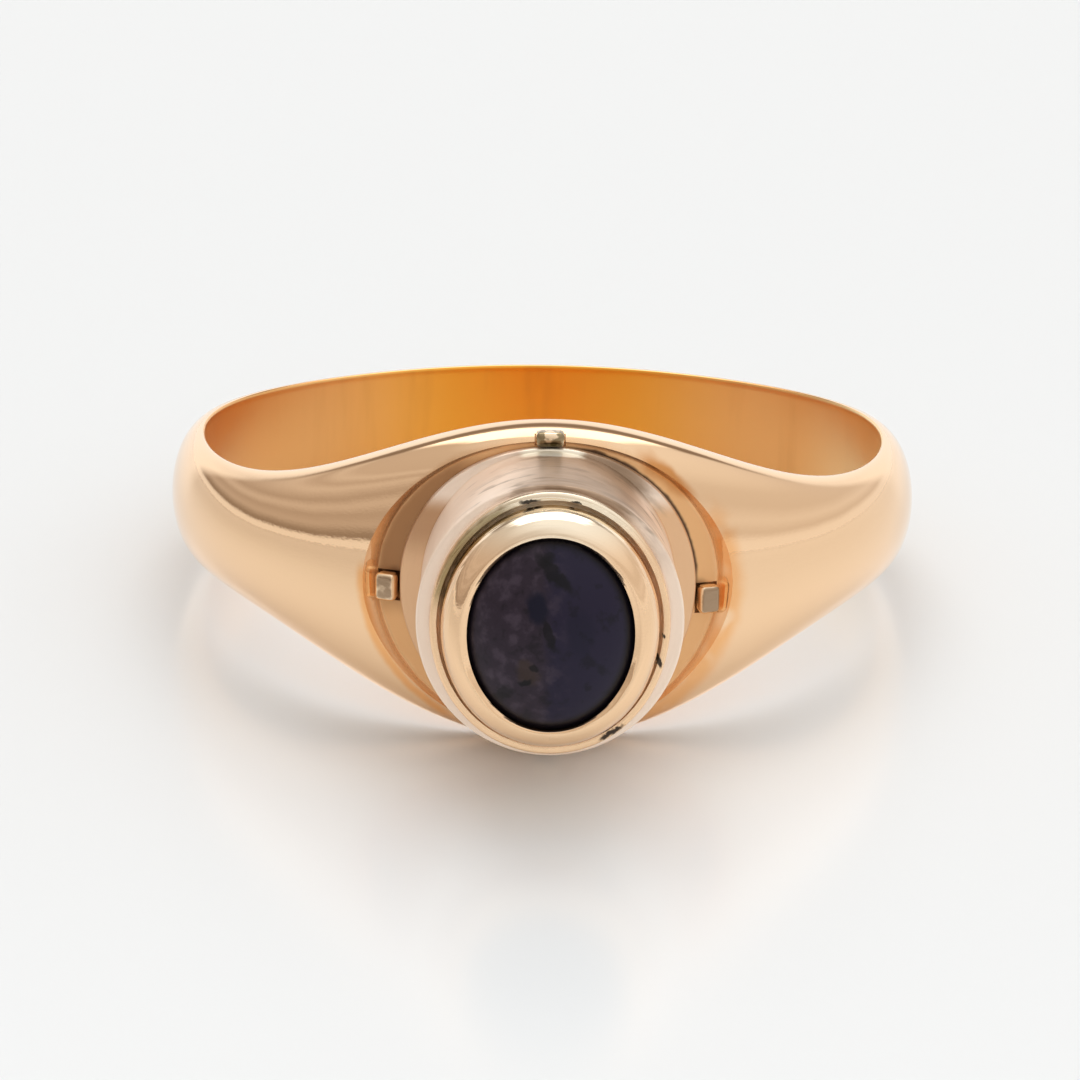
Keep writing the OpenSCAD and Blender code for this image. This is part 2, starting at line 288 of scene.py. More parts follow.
def polished_gold(name, colour, roughness, wear):
    """A metal with fine wear.

    Returns the material, its tree, its shader and its coordinates in the ring's frame.
    """
    material = bpy.data.materials.new(name)
    material.use_nodes = True
    tree = material.node_tree
    shader = tree.nodes["Principled BSDF"]
    shader.inputs["Metallic"].default_value = 1
    shader.inputs["Base Color"].default_value = linear(colour)
    turned = ring_coords(tree)
    height = add_node(tree, "ShaderNodeTexNoise", {
        "Vector": turned, "Scale": 1/WAVE_MM, "Detail": 1}).outputs["Fac"]
    bump = add_node(tree, "ShaderNodeBump", {
        "Height": height, "Strength": 1, "Distance": WAVE_DEPTH_MM*MM})
    dents = add_node(tree, "ShaderNodeTexNoise", {
        "Vector": turned, "Scale": 1/DENT_MM, "Detail": 2}).outputs["Fac"]
    bump = add_node(tree, "ShaderNodeBump", {
        "Height": dents, "Strength": wear, "Distance": DENT_DEPTH_MM*MM,
        "Normal": bump.outputs["Normal"]})
    for turn in SCRATCH_TURNS:
        stretched = add_node(tree, "ShaderNodeMapping", {
            "Vector": turned, "Rotation": (turn, turn, 0),
            "Scale": (1, SCRATCH_STRETCH, SCRATCH_STRETCH)})
        scratch = add_node(tree, "ShaderNodeTexNoise", {
            "Vector": stretched.outputs[0], "Scale": 1/(SCRATCH_MM*SCRATCH_STRETCH), "Detail": 1})
        bump = add_node(tree, "ShaderNodeBump", {
            "Height": scratch.outputs["Fac"], "Strength": wear, "Distance": SCRATCH_DEPTH_MM*MM,
            "Normal": bump.outputs["Normal"]})
    tree.links.new(bump.outputs["Normal"], shader.inputs["Normal"])
    patches = add_node(tree, "ShaderNodeTexNoise", {
        "Vector": turned, "Scale": PATCHES_PER_MM, "Detail": 2})
    rough = add_node(tree, "ShaderNodeMapRange", {
        "Value": patches.outputs["Fac"], "From Min": 0.3, "From Max": 0.7,
        "To Min": roughness*BRIGHT_PATCH, "To Max": roughness*DULL_PATCH})
    tree.links.new(rough.outputs[0], shader.inputs["Roughness"])
    return material, tree, shader, turned


def ragged(tree, coords, grain, reach):
    """The coordinates pushed about by noise of that grain, in mm, for uneven outlines.

    The noise pushes each way by up to the reach, and by half of it in the middle, so the
    middle of an outline on these coordinates is given half a reach further along.
    """
    noise = add_node(tree, "ShaderNodeTexNoise", {
        "Vector": coords, "Scale": 1/grain, "Detail": 2}).outputs["Color"]
    return add_node(tree, "ShaderNodeVectorMath", {
        0: noise, 1: (reach, reach, reach), 2: coords}, operation="MULTIPLY_ADD").outputs[0]


def reach_of(tree, coords, place, half, turn=0):
    """How far out a point lies in an oval: 0 in its middle and 1 on its outline.

    Its middle and half sizes are in mm, and it is turned by that many degrees.
    """
    local = add_node(tree, "ShaderNodeMapping", {
        "Vector": coords, "Location": place, "Rotation": (0, -math.radians(turn), 0),
        "Scale": half}, vector_type="TEXTURE").outputs[0]
    return add_node(tree, "ShaderNodeVectorMath", {0: local}, operation="LENGTH").outputs["Value"]


def out_from_axis(tree, coords):
    """How far a point lies from the finger hole's axis."""
    level = add_node(tree, "ShaderNodeVectorMath", {
        0: coords, 1: (1, 1, 0)}, operation="MULTIPLY").outputs[0]
    return add_node(tree, "ShaderNodeVectorMath", {0: level}, operation="LENGTH").outputs["Value"]


def mask_of(tree, depth, *limits):
    """A mask as deep as that inside all limits: a value, where it starts and where it is full."""
    mask = depth
    for value, start, full in limits:
        inside = add_node(tree, "ShaderNodeMapRange", {
            "Value": value, "From Min": start, "From Max": full},
            interpolation_type="SMOOTHSTEP").outputs[0]
        mask = add_node(tree, "ShaderNodeMath", {
            0: inside, 1: mask}, operation="MULTIPLY").outputs[0]
    return mask


def stain(tree, shader, colour, depth, *limits):
    """Lays a colour over the shader's, as deep as that, inside the limits."""
    base = shader.inputs["Base Color"]
    under = base.links[0].from_socket if base.links else base.default_value[:]
    # Inputs 6 and 7 of a mix node are its two colours, and output 2 is the mixed one
    mixed = add_node(tree, "ShaderNodeMix", {
        0: mask_of(tree, depth, *limits), 6: under, 7: linear(colour)}, data_type="RGBA")
    tree.links.new(mixed.outputs[2], base)


def change(tree, socket, value, *limits):
    """Brings a socket's number to the value inside the limits."""
    # Inputs 2 and 3 of a mix node are its two numbers, and output 0 is the mixed one
    under = socket.links[0].from_socket if socket.links else socket.default_value
    mixed = add_node(tree, "ShaderNodeMix", {0: mask_of(tree, 1, *limits), 2: under, 3: value})
    tree.links.new(mixed.outputs[0], socket)


# Inside the finger hole the band's gold is duller, and is painted a deeper orange: a painted
# reflection of the gold in itself. Dirt dulls the gutter and stains it tan. Its upper left is
# painted brown as shade, its edge is orange, partly stain and partly painted reflection, and a
# black painted shadow lies along the foot's upper right.
BAND_GOLD, HOLE_PAINTED_REFLECTION, HOLE_SIDES_PAINTED_REFLECTION = "f5d0a8", "f4a93f", "efb672"
HOLE_STREAK, HOLE_END_PAINTED_REFLECTION, SMEAR = "b87736", "ffe0a6", "d08c4a"
DARK_PAINTED_SHADOW, BROWN_PAINTED_SHADE, TAN, ORANGE_STAIN_AND_REFLECTION = "3a1f10", "a8784c", "eeb980", "efac68"
BAND_ROUGHNESS, BAND_WEAR, HOLE_ROUGHNESS = 0.045, 0.4, 0.3
DIRT_ROUGHNESS, DIRT_METALLIC = 0.36, 0.45
STREAKS_PER_MM, STREAK_STRETCH = 0.7, 0.12
BLOTCHES_PER_MM = 1.1
UNEVEN_MM = 0.12
# An oval's half size along an axis where it has no end
ANY = 99
band_gold, tree, shader, turned = polished_gold(
    "reddish gold, polished", BAND_GOLD, BAND_ROUGHNESS, BAND_WEAR)
uneven = ragged(tree, turned, 0.5, UNEVEN_MM)
blotchy = ragged(tree, turned, 0.9, 0.4)
middle = UNEVEN_MM/2, 0, UNEVEN_MM/2
from_axis = out_from_axis(tree, turned)
right, inwards, up = add_node(tree, "ShaderNodeSeparateXYZ", {"Vector": turned}).outputs
aside = add_node(tree, "ShaderNodeMath", {0: right}, operation="ABSOLUTE").outputs[0]
in_hole = from_axis, finger_r + 0.06, finger_r + 0.02
# Painted reflection: the hole is painted deeper orange, paler at its sides and at its right end
stain(tree, shader, HOLE_PAINTED_REFLECTION, 1, in_hole)
stain(tree, shader, HOLE_SIDES_PAINTED_REFLECTION, 1, in_hole, (aside, 2, 6.5))
# Streaks run along the finger hole, as a finger rubs it
across = add_node(tree, "ShaderNodeMapping", {
    "Vector": turned, "Scale": (1, 1, STREAK_STRETCH)}).outputs[0]
streaks = add_node(tree, "ShaderNodeTexNoise", {
    "Vector": across, "Scale": STREAKS_PER_MM, "Detail": 4}).outputs["Fac"]
stain(tree, shader, HOLE_STREAK, 0.35, in_hole, (streaks, 0.5, 0.75))
# Painted reflection: the hole's right end is painted paler
stain(tree, shader, HOLE_END_PAINTED_REFLECTION, 1, in_hole, (right, 6.8, 9))
change(tree, shader.inputs["Roughness"], HOLE_ROUGHNESS, in_hole)
# The gutter's dirt and painted shade keep to the front of the head, clear of the finger hole
outside = from_axis, finger_r + 0.4, finger_r + 0.6
at_front = inwards, -7, -8
gutter_reach = reach_of(tree, uneven, middle, (gutter_w/2 + 0.12, ANY, gutter_h/2 + 0.1))
in_gutter = gutter_reach, 1.04, 0.95
stain(tree, shader, TAN, 1, outside, at_front, in_gutter)
change(tree, shader.inputs["Roughness"], DIRT_ROUGHNESS, outside, at_front, in_gutter)
change(tree, shader.inputs["Metallic"], DIRT_METALLIC, outside, at_front, in_gutter)
# Painted shade: the gutter's upper left is painted brown
upper_left = reach_of(tree, uneven, (-3.4, 0, 1.6), (2.9, ANY, 2.3), 50)
stain(tree, shader, BROWN_PAINTED_SHADE, 1, outside, at_front, in_gutter, (upper_left, 1, 0.6))
# Its edge is orange: broad and broken at the upper right, partly stain and partly painted
# reflection, and at the lower left a thin line of painted reflection
broad_edge = reach_of(tree, blotchy, (0.2, 0, 0.15), (gutter_w/2 + 0.36, ANY, gutter_h/2 + 0.15))
broken = add_node(tree, "ShaderNodeTexNoise", {
    "Vector": turned, "Scale": BLOTCHES_PER_MM, "Detail": 1}).outputs["Fac"]
stain(tree, shader, ORANGE_STAIN_AND_REFLECTION, 0.7, outside, at_front, (broad_edge, 0.9, 1.0),
      (broad_edge, 1.12, 1.02), (right, 1.8, 2.8), (up, 2.6, 1.2), (broken, 0.3, 0.5))
edge_line = reach_of(tree, uneven, middle, (gutter_w/2 + 0.4, ANY, gutter_h/2 + 0.2))
stain(tree, shader, ORANGE_STAIN_AND_REFLECTION, 0.8, outside, at_front, (edge_line, 0.96, 1.0),
      (edge_line, 1.05, 1.01), (right, -2.2, -2.8), (up, 0.6, 0.1))
# A smear of orange stain reaches over the land on the upper right
smear = reach_of(tree, blotchy, (3.2, 0, 3.12), (1.2, ANY, 0.33), -42)
stain(tree, shader, SMEAR, 0.9, outside, at_front, (smear, 1, 0.4))
# Dark painted shadow lies along the foot's upper right and beside the side studs
out_of_foot = reach_of(tree, uneven, middle, (foot_w/2, ANY, foot_h/2))
upper_right = reach_of(tree, turned, (2.6, 0, 2.2), (2.6, ANY, 2.4), -40)
stain(tree, shader, DARK_PAINTED_SHADOW, 0.9, outside, at_front, (out_of_foot, 1.03, 1.01),
      (upper_right, 1.15, 0.8))
TOWARDS_FOOT = 0.16
for angle, z, width, height in stud_places.values():
    if angle:
        x = seat_r*math.sin(angle) + math.copysign(TOWARDS_FOOT, -angle) + UNEVEN_MM/2
        beside = reach_of(tree, uneven, (x, -seat_r + 1, z + 0.2), (0.36, 3, 0.46))
        stain(tree, shader, DARK_PAINTED_SHADOW, 0.6, outside, (beside, 1.0, 0.4))
shank.data.materials.append(band_gold)
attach(shank, "root")
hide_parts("shank")

# Setting: a foot that follows the seat, a tall oval collar raised from paler gold sheet, a
# step ring soldered on it, and the bezel, whose wall is burnished over the stone's edge.
# Solder joins them, and has left small black pits in the groove between step and bezel.
foot_t, foot_edge = 0.25, 0.05
foot_top_r = foot_under_r + foot_t
# The ovals' heights as the stone is seen from the front, and their widths as a share of them
collar_h, collar_top_h, step_h, bezel_h, window_h = 7.4, 7.14, 6.92, 6.3, 5.04
oval_ratio, collar_top_ratio, stone_ratio = 0.885, 0.96, 0.85
# The step ring rises over the foot's underside and the bezel over the step ring, and the
# collar's top lies below the step ring's
step_rise, bezel_rise, collar_top_depth, collar_wall = 3.55, 1.1, 0.35, 0.5
step_y = foot_under_r + step_rise
bezel_y = step_y + bezel_rise
collar_top_y = step_y - collar_top_depth
# The step ring's lip and the groove inside it, then the bezel's upright wall and its rim
lip_round, lip_w, lip_under, groove_depth = 0.07, 0.2, 0.06, 0.18
bezel_wall_h, rim_edge, rim_round_h = 0.18, 0.06, 0.015
# Fillets of solder under the step ring and in the groove
fillet_h, step_fillet_w, groove_fillet_w = 0.03, 0.02, 0.05
stone_h, dome_rise, base_depth, girdle_depth = 5.6, 1.7, 0.55, 0.95
girdle_y = bezel_y - girdle_depth
# The share of the dome's rise at which the bezel's rim meets it
RIM_TOUCH = 0.44
# The ledge under the stone's base
ledge_w, ledge_t = 0.3, 0.35
base_y = girdle_y - base_depth - gap
ROUND_STEPS, LIP_STEPS, SHOULDER_STEPS = 5, 2, 14


def oval(height, out, wrap=0, ratio=oval_ratio):
    """A row for oval_stack: an oval of that height and share of width."""
    return height/2*ratio, height/2, out, wrap


def rounded(height, out, inward, outward, steps, upright=True, ratio=oval_ratio):
    """Ovals along a quarter turn that closes in by inward; it starts upright or else flat."""
    rows = []
    for i in range(steps + 1):
        t = math.pi/2*i/steps
        closed_in, gone_out = 1 - math.cos(t), math.sin(t)
        if not upright:
            closed_in, gone_out = gone_out, closed_in
        rows.append(oval(height - 2*inward*closed_in, out + outward*gone_out, ratio=ratio))
    return rows


def up_the_collar(share, wrap):
    """An oval at that share of the way from the collar's foot to its top."""
    half_w = collar_h/2*oval_ratio*(1 - share) + collar_top_h/2*collar_top_ratio*share
    half_h = collar_h/2*(1 - share) + collar_top_h/2*share
    return half_w, half_h, foot_top_r*(1 - share) + collar_top_y*share, wrap


# The collar leaves the foot in a small fillet: wider by, above the foot by, and wrap. Its
# ovals follow the band there, and grow flat on the way up: share of the way, and wrap.
COLLAR_FILLET = [(0.04, 0.005, 1), (0.01, 0.03, 0.95), (0, 0.12, 0.85)]
COLLAR_WAY = [(0.15, 0.5), (0.35, 0.2), (0.6, 0), (0.85, 0)]
setting_rows = [
    # The foot, with its rounded edge
    oval(collar_h - 2*collar_wall, foot_under_r, 1),
    (foot_w/2, foot_h/2, foot_under_r, 1),
    (foot_w/2, foot_h/2, foot_top_r - foot_edge, 1),
    (foot_w/2 - foot_edge*0.3, foot_h/2 - foot_edge*0.2, foot_top_r - foot_edge*0.3, 1),
    (foot_w/2 - foot_edge, foot_h/2 - foot_edge*0.5, foot_top_r, 1),
    # The collar
    *[oval(collar_h + wider, foot_top_r + above, wrap) for wider, above, wrap in COLLAR_FILLET],
    *[up_the_collar(share, wrap) for share, wrap in COLLAR_WAY],
    *rounded(collar_top_h, collar_top_y - lip_round, lip_round, lip_round, ROUND_STEPS,
             ratio=collar_top_ratio),
    # The step ring and the groove inside it
    oval(step_h + 2*step_fillet_w, collar_top_y),
    oval(step_h, collar_top_y + fillet_h),
    *rounded(step_h, step_y - lip_round, lip_round, lip_round, ROUND_STEPS),
    *rounded(step_h - 2*lip_w, step_y, -lip_under, -lip_under, LIP_STEPS, upright=False),
    oval(bezel_h + 2*groove_fillet_w, step_y - groove_depth),
    oval(bezel_h, step_y - groove_depth + fillet_h),
    # The bezel, its rim and the seat inside it
    *rounded(bezel_h, step_y + bezel_wall_h, (bezel_h - window_h)/2 - rim_edge,
             bezel_rise - bezel_wall_h, SHOULDER_STEPS),
    oval(window_h + 2*rim_edge*0.4, bezel_y - rim_round_h),
    oval(window_h, bezel_y - rim_edge, ratio=stone_ratio),
    oval(window_h, girdle_y + dome_rise*RIM_TOUCH, ratio=stone_ratio),
    oval(stone_h + 2*gap, girdle_y, ratio=stone_ratio),
    oval(stone_h + 2*gap, base_y, ratio=stone_ratio),
    # The ledge under the stone and the hollow of the collar
    oval(stone_h - 2*ledge_w, base_y),
    oval(stone_h - 2*ledge_w, base_y - ledge_t),
    oval(step_h - 2*collar_wall, base_y - ledge_t),
    oval(collar_h - 2*collar_wall, foot_top_r),
    oval(collar_h - 2*collar_wall, foot_under_r, 1),
]
setting = oval_stack("gold_setting", setting_rows, closed=True)

# The step ring and the bezel were filed by hand, so their outlines waver a little: waves
# round the ring, depth and start of each. The wavering fades out at the stone and the collar.
FILED_MM, FADE_AT_STONE, FADE_AT_COLLAR = 0.013, 0.3, 0.1
FILED_WAVES = [(2, 1, 1), (3, 0.8, 4), (5, 0.5, 0)]


def filed_rule(x, y, z):
    far = np.hypot(x/oval_ratio, z)
    t = np.arctan2(z, x)
    waver = sum(depth*np.sin(waves*t + start) for waves, depth, start in FILED_WAVES)
    share = (np.clip((far - window_h/2)/FADE_AT_STONE, 0, 1)
             *np.clip((-y - collar_top_y)/FADE_AT_COLLAR, 0, 1))
    grow = 1 + FILED_MM*waver*share/np.maximum(far, 1)
    return x*grow, y, z*grow


shape(setting, filed_rule)
SETTING_SHARP_ANGLE = 40
finish_mesh(setting, SETTING_SHARP_ANGLE)

# The collar's paler gold is brushed round, and so are its dark cloudy streaks; the step ring
# and the bezel have the band's colour and polish, and their upper parts are painted paler as a
# painted highlight. Pits and dirt lie in the groove between those two, with painted shade at its
# upper left, and a pale spot of solder and painted highlight lies below the top stud.
COLLAR_GOLD, COLLAR_TOP_PAINTED_SHADE, CLOUD, PAINTED_TOP_HIGHLIGHT = "ffead6", "b2967c", "8d745c", "fff4dc"
FOOT_GOLD, FOOT_SHADE, SOLDER_AND_HIGHLIGHT = "e9bd92", "b88a63", "fff6e2"
GROOVE_DIRT_AND_SHADE, GROOVE_LINE, PIT = "8d7a4c", "8a6a42", "150c05"
SETTING_ROUGHNESS, SETTING_WEAR = 0.1, 0.9
COLLAR_ROUGHNESS, COLLAR_METALLIC, LEFT_METALLIC = 0.34, 0.55, 0.35
FILL_ROUGHNESS, FILL_METALLIC = 0.4, 0.45
PIT_ROUGHNESS, PIT_METALLIC = 0.7, 0.1
CLOUDS_PER_MM, BLOTS_PER_MM = 1.3, 2.8
UNEVEN_MM, CRUMBLY_MM = 0.16, 0.16
setting_gold, tree, shader, turned = polished_gold(
    "pale gold, brushed, and polished gold", BAND_GOLD, SETTING_ROUGHNESS, SETTING_WEAR)
right, inwards, up = add_node(tree, "ShaderNodeSeparateXYZ", {"Vector": turned}).outputs
uneven = ragged(tree, turned, 0.35, UNEVEN_MM)
blotchy = ragged(tree, turned, 1.1, 0.9)
on_collar = inwards, -step_y + 0.12, -step_y + 0.3
# Painted highlight: the setting's upper part is painted paler cream
stain(tree, shader, PAINTED_TOP_HIGHLIGHT, 0.8, (up, 1.8, 3))
stain(tree, shader, COLLAR_GOLD, 1, on_collar)
# The middle of its top is painted darker as shade, and the foot below it is as reddish as the
# band, with its upper left side painted darker as shade
top_middle = reach_of(tree, blotchy, (1.6, 0, 4.0), (2.9, ANY, 1.7), 12)
stain(tree, shader, COLLAR_TOP_PAINTED_SHADE, 1, on_collar, (top_middle, 1, 0.4))
from_axis = out_from_axis(tree, turned)
on_foot = from_axis, foot_top_r + 0.06, foot_top_r + 0.02
stain(tree, shader, FOOT_GOLD, 1, on_foot, (up, 2.5, 1.9))
stain(tree, shader, FOOT_SHADE, 0.8, on_foot, (right, -1, -2), (up, 2.5, 1.9), (up, 0.4, 1.5))
# The streaks follow the brush: noise that is stretched round the collar's axis
around = add_node(tree, "ShaderNodeVectorMath", {
    0: turned, 1: (1, 0, 1)}, operation="MULTIPLY").outputs[0]
from_middle = add_node(tree, "ShaderNodeVectorMath", {
    0: around}, operation="LENGTH").outputs["Value"]
way_round = add_node(tree, "ShaderNodeMath", {0: right, 1: up}, operation="ARCTAN2").outputs[0]
brushed = add_node(tree, "ShaderNodeCombineXYZ", {
    "X": way_round, "Y": from_middle, "Z": inwards}).outputs[0]
clouds = add_node(tree, "ShaderNodeTexNoise", {
    "Vector": brushed, "Scale": CLOUDS_PER_MM, "Detail": 5, "Roughness": 0.6,
    "Distortion": 0.4}).outputs["Fac"]
off_left = right, -2.7, -1.5
stain(tree, shader, CLOUD, 0.6, on_collar, off_left, (clouds, 0.46, 0.7), (up, 0.8, 3))
# Finer blots lie between them
blots = add_node(tree, "ShaderNodeTexNoise", {
    "Vector": brushed, "Scale": BLOTS_PER_MM, "Detail": 3}).outputs["Fac"]
stain(tree, shader, CLOUD, 0.6, on_collar, off_left, (blots, 0.54, 0.66), (up, 0.4, 2.2),
      (from_axis, foot_top_r + 0.05, foot_top_r + 0.3))
# The marks that brush and burnisher left run the same way
MARK_MM, MARK_STRETCH, MARK_DEPTH_MM = 0.16, 4, 0.018
along_brush = add_node(tree, "ShaderNodeMapping", {
    "Vector": brushed, "Scale": (1/MARK_STRETCH, 1, 1)}).outputs[0]
marks = add_node(tree, "ShaderNodeTexNoise", {
    "Vector": along_brush, "Scale": 1/MARK_MM, "Detail": 1}).outputs["Fac"]
normal = shader.inputs["Normal"]
bump = add_node(tree, "ShaderNodeBump", {
    "Height": marks, "Strength": 1, "Distance": MARK_DEPTH_MM*MM,
    "Normal": normal.links[0].from_socket})
tree.links.new(bump.outputs["Normal"], normal)
change(tree, shader.inputs["Roughness"], COLLAR_ROUGHNESS, on_collar)
# Brushing scatters the light, so the collar is pale from every side, most of all at its left
change(tree, shader.inputs["Metallic"], COLLAR_METALLIC, on_collar)
change(tree, shader.inputs["Metallic"], LEFT_METALLIC, on_collar, (right, -1.2, -2.6))
# Olive dirt and painted shade fill the upper left of the groove between step ring and bezel
groove = reach_of(tree, uneven, (UNEVEN_MM/2, 0, UNEVEN_MM/2),
                  (bezel_h/2*oval_ratio + 0.12, ANY, bezel_h/2 + 0.12))
upper_left = reach_of(tree, turned, (-2.4, 0, 2.2), (1.9, ANY, 2.2))
in_ring = inwards, -step_y + 0.25, -step_y + 0.15
stain(tree, shader, GROOVE_DIRT_AND_SHADE, 0.8, (groove, 0.95, 0.98), (groove, 1.075, 1.03),
      (upper_left, 1, 0.6), in_ring, (inwards, -step_y - 0.3, -step_y - 0.1))
# A brown line of old polish lies at the bottom of the groove, and has no shine
stain(tree, shader, GROOVE_LINE, 0.5, (groove, 0.96, 0.975), (groove, 1.0, 0.985),
      (clouds, 0.35, 0.6), in_ring, (inwards, -step_y - 0.25, -step_y - 0.1))
down_groove = ((groove, 0.945, 0.965), (groove, 1.02, 1.0), in_ring,
               (inwards, -step_y - 0.06, -step_y + 0.02))
change(tree, shader.inputs["Metallic"], FILL_METALLIC, *down_groove)
change(tree, shader.inputs["Roughness"], FILL_ROUGHNESS, *down_groove)
# A pale spot below the top stud: partly solder and partly painted highlight
solder_and_highlight_spot = reach_of(tree, uneven, (0.15, -foot_top_r, foot_h/2), (1.05, 0.35, 0.3))
stain(tree, shader, SOLDER_AND_HIGHLIGHT, 1, (solder_and_highlight_spot, 1, 0.7))
# Each pit lies in the groove: place across and up the ring, half sizes, turn in degrees
PIT_Y, PIT_HALF_DEPTH = -13.6, 0.5
PITS = [(0.62, 3.2, 0.2, 0.03, -8), (-0.55, 3.22, 0.36, 0.09, 8), (1.6, -2.84, 0.45, 0.1, 33),
        (2.78, -0.95, 0.09, 0.2, 15), (2.9, -0.3, 0.06, 0.08, 0)]
crumbly = ragged(tree, turned, 0.12, CRUMBLY_MM)
push = CRUMBLY_MM/2
to_pit = ANY
for x, z, half_w, half_h, turn in PITS:
    reach = reach_of(tree, crumbly, (x + push, PIT_Y + push, z + push),
                     (half_w, PIT_HALF_DEPTH, half_h), turn)
    to_pit = add_node(tree, "ShaderNodeMath", {
        0: reach, 1: to_pit}, operation="MINIMUM").outputs[0]
in_pit = to_pit, 1, 0.6
stain(tree, shader, PIT, 0.95, in_pit)
change(tree, shader.inputs["Metallic"], PIT_METALLIC, in_pit)
change(tree, shader.inputs["Roughness"], PIT_ROUGHNESS, in_pit)
setting.data.materials.append(setting_gold)
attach(setting, "root")
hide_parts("setting")

# Stone: a star sapphire cut as an oval cabochon, domed and left with a satin polish. Its
# girdle rests in the bezel, whose rim holds it. It is a blackish blue-violet with darker
# inclusions.
STONE_SIDES, STONE_ROWS = 192, 96
# The base's side takes this share of the sphere's lower half, and its flat bottom the rest
BASE_SHARE = 1/12
bpy.ops.object.select_all(action="DESELECT")
bpy.ops.mesh.primitive_uv_sphere_add(segments=STONE_SIDES, ring_count=STONE_ROWS, radius=1)
stone = name_piece("sapphire_cabochon")


def dome_rule(x, y, z):
    """Turns the sphere's pole to the viewer, and its lower half into the straight base."""
    on_dome = z > -1e-6
    out = girdle_y + np.where(on_dome, dome_rise*z, base_depth*np.maximum(z/BASE_SHARE, -1))
    spread = np.where(on_dome, 1, 1/np.sqrt(1 - np.minimum(z*z, BASE_SHARE**2)))
    return x*spread*stone_h/2*stone_ratio, -out, y*spread*stone_h/2


shape(stone, dome_rule)
STONE_SHARP_ANGLE = 50
finish_mesh(stone, STONE_SHARP_ANGLE)

# A blackish corundum: violet grey on one half and slate blue on the other, with crystals
# and a healed crack inside, and no more than a satin shine
VIOLET, SLATE, INK, HAZE = "2d232e", "211b30", "08060a", "463b47"
BLUE, RUST = "0b0d22", "382a22"
UNEVEN_MM, MIST_PER_MM = 0.3, 2.6
sapphire = bpy.data.materials.new("sapphire, satin polished")
sapphire.use_nodes = True
tree = sapphire.node_tree
shader = tree.nodes["Principled BSDF"]
shader.inputs["Base Color"].default_value = linear(VIOLET)
shader.inputs["Roughness"].default_value = 0.35
shader.inputs["IOR"].default_value = 1.77
shader.inputs["Specular IOR Level"].default_value = 0.1
turned = ring_coords(tree)
uneven = ragged(tree, turned, 0.3, UNEVEN_MM)
right = add_node(tree, "ShaderNodeSeparateXYZ", {"Vector": uneven}).outputs["X"]
stain(tree, shader, SLATE, 1, (right, -0.15, 0.25))
mist = add_node(tree, "ShaderNodeTexNoise", {
    "Vector": turned, "Scale": MIST_PER_MM, "Detail": 5}).outputs["Fac"]
stain(tree, shader, HAZE, 0.75, (mist, 0.48, 0.7), (right, 0.8, -0.3))
stain(tree, shader, INK, 0.5, (mist, 0.46, 0.3))
# Each inclusion: place across and up the stone, half sizes, turn in degrees, colour, depth
INCLUSIONS = [(0.05, 1.72, 0.9, 0.22, -44, INK, 0.85), (-0.1, 2.05, 0.22, 0.2, 0, INK, 0.7),
              (-0.36, 0.88, 0.36, 0.55, 10, BLUE, 0.9), (-0.06, 0.2, 0.55, 0.13, -74, INK, 0.8),
              (-0.6, -0.8, 0.34, 0.5, 20, RUST, 0.75), (-0.65, -1.1, 0.2, 0.16, 20, INK, 0.9),
              (-0.42, -0.7, 0.13, 0.16, -30, INK, 0.8), (-1.2, -1.45, 0.4, 0.26, 30, INK, 0.75),
              (0.75, 0.2, 0.5, 0.8, 0, BLUE, 0.35)]
for x, z, half_w, half_h, turn, colour, depth in INCLUSIONS:
    grain = reach_of(tree, uneven, (x + UNEVEN_MM/2, 0, z + UNEVEN_MM/2),
                     (half_w, ANY, half_h), turn)
    stain(tree, shader, colour, depth, (grain, 1, 0.5))
# The bezel's rim shades the stone's edge, a little more at its lower right
in_window = reach_of(tree, turned, (-0.05, 0, 0.05),
                     (window_h/2*stone_ratio, ANY, window_h/2))
stain(tree, shader, INK, 0.9, (in_window, 0.88, 0.97))
stone.data.materials.append(sapphire)
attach(stone, "root")
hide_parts("star_sapphire")

# Studs: four small blocks of the same gold, let into their sockets round the foot, with
# their tops filed to a flat and their edges rounded by wear.
STUD_GOLD, TOP_PAINTED_REFLECTION, OLIVE_PAINTED_SHADE, BLACK_PAINTED_SHADOW = "fadfbc", "8f745b", "6a5c38", "33280f"
STUD_ROUGHNESS, STUD_WEAR = 0.16, 1
UNEVEN_MM, BLOTS_PER_MM = 0.06, 3.2
stud_gold, tree, shader, turned = polished_gold(
    "gold, worn, with tops painted dark", STUD_GOLD, STUD_ROUGHNESS, STUD_WEAR)
# The flat tops are painted darker than the bright bevels round them: a painted reflection
right = add_node(tree, "ShaderNodeSeparateXYZ", {"Vector": turned}).outputs["X"]
aside = add_node(tree, "ShaderNodeMath", {0: right}, operation="ABSOLUTE").outputs[0]
uneven = ragged(tree, turned, 0.2, UNEVEN_MM)
stud_top_r = seat_r + stud_rise
stain(tree, shader, TOP_PAINTED_REFLECTION, 0.85, (aside, 1, 2),
      (out_from_axis(tree, uneven), stud_top_r - 0.065, stud_top_r - 0.035))
# The top and bottom studs are blotched with olive: painted shade on the top stud's front
blots = add_node(tree, "ShaderNodeTexNoise", {
    "Vector": turned, "Scale": BLOTS_PER_MM, "Detail": 2}).outputs["Fac"]
stain(tree, shader, OLIVE_PAINTED_SHADE, 0.8, (aside, 0.5, 0.4), (blots, 0.47, 0.56))
